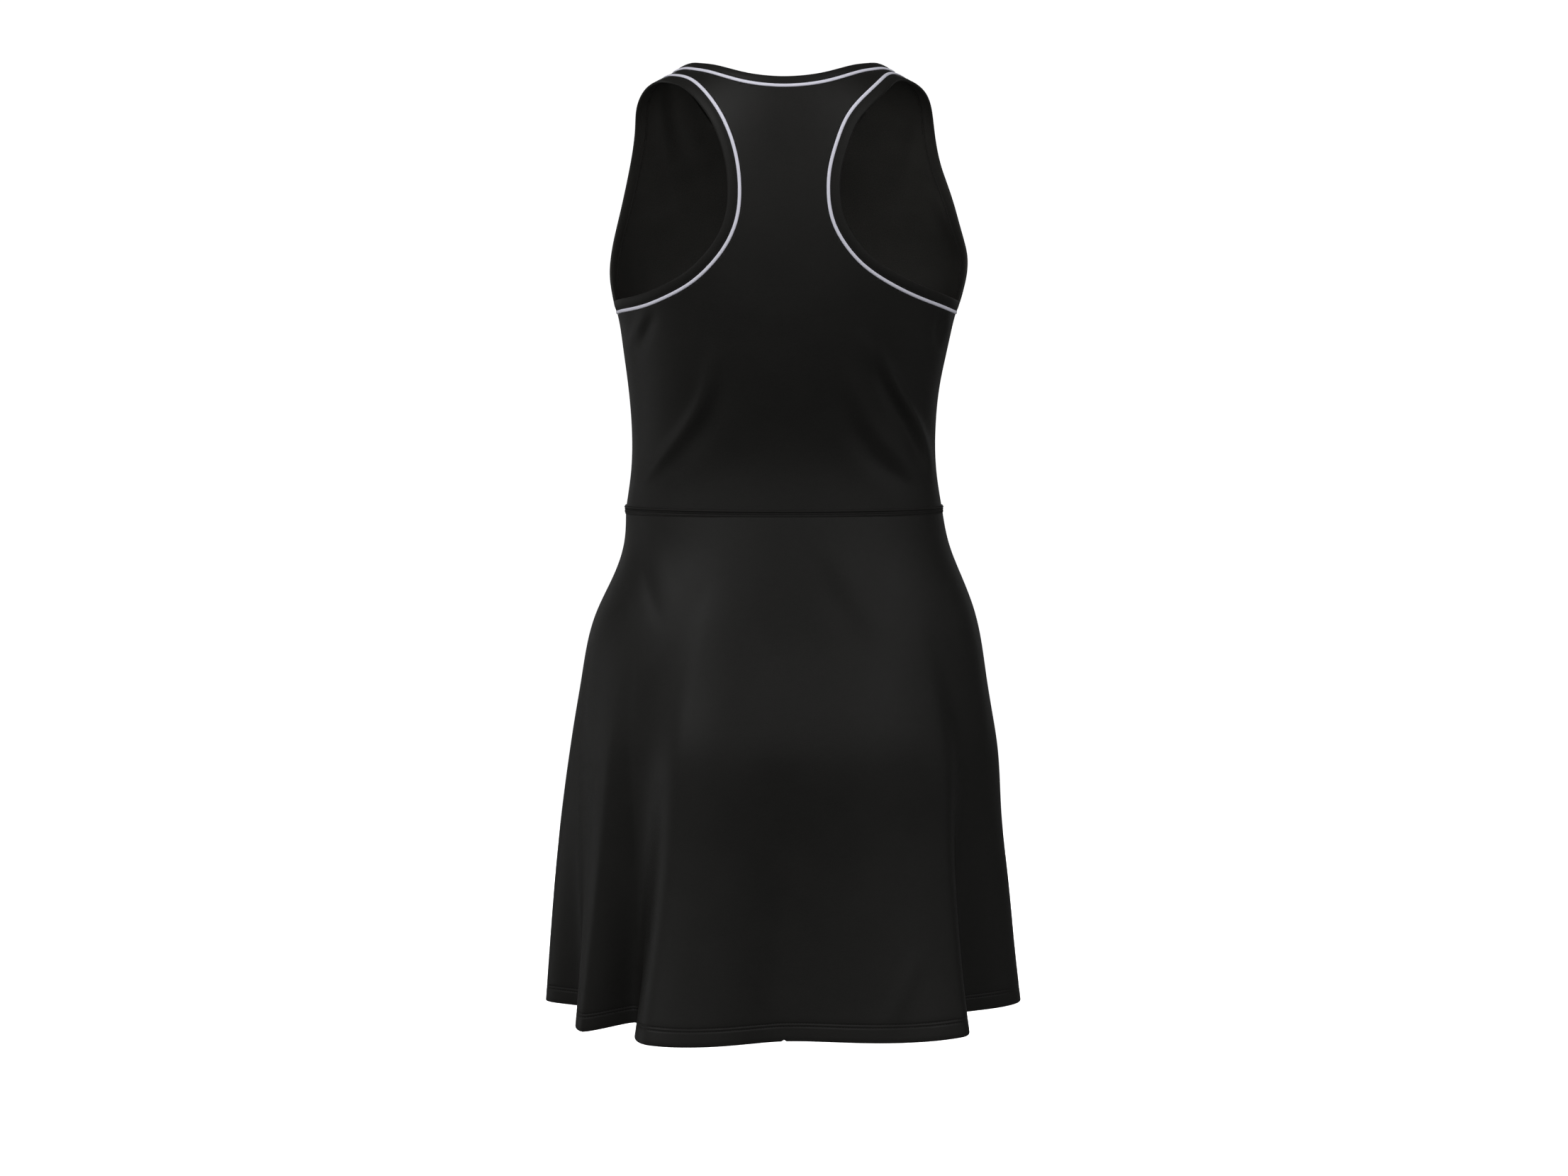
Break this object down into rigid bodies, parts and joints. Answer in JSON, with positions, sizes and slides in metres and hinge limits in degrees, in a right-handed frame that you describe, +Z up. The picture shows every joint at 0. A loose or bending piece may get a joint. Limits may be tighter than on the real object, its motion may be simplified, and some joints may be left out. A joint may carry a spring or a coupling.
{
  "type": "sports dress",
  "caption": "Sleeveless sports dress with a racer back, a seamed waist, a fluted skirt and pale piping round neck and armholes.",
  "frame": {"origin": "middle of the shoulder line, level with the cloth of the straps where they cross the shoulders", "axes": "+Z up along the wearer, +Y to the wearer's front, so the racer back faces -Y and +X is the wearer's right"},
  "size_m": [0.4307, 0.3697, 0.8495],
  "materials": {
    "jersey": "smooth black knit",
    "binding": "folded black knit",
    "piping": "pale flat piping"
  },
  "bodies": {
    "root": {"back_bodice": "jersey", "front_bodice": "jersey", "back_skirt": "jersey", "front_skirt": "jersey", "waist_seam": "binding", "neck_binding": "binding", "left_arm_binding": "binding", "right_arm_binding": "binding", "neck_piping": "piping", "left_arm_piping": "piping", "right_arm_piping": "piping"}
  },
  "joints": []
}
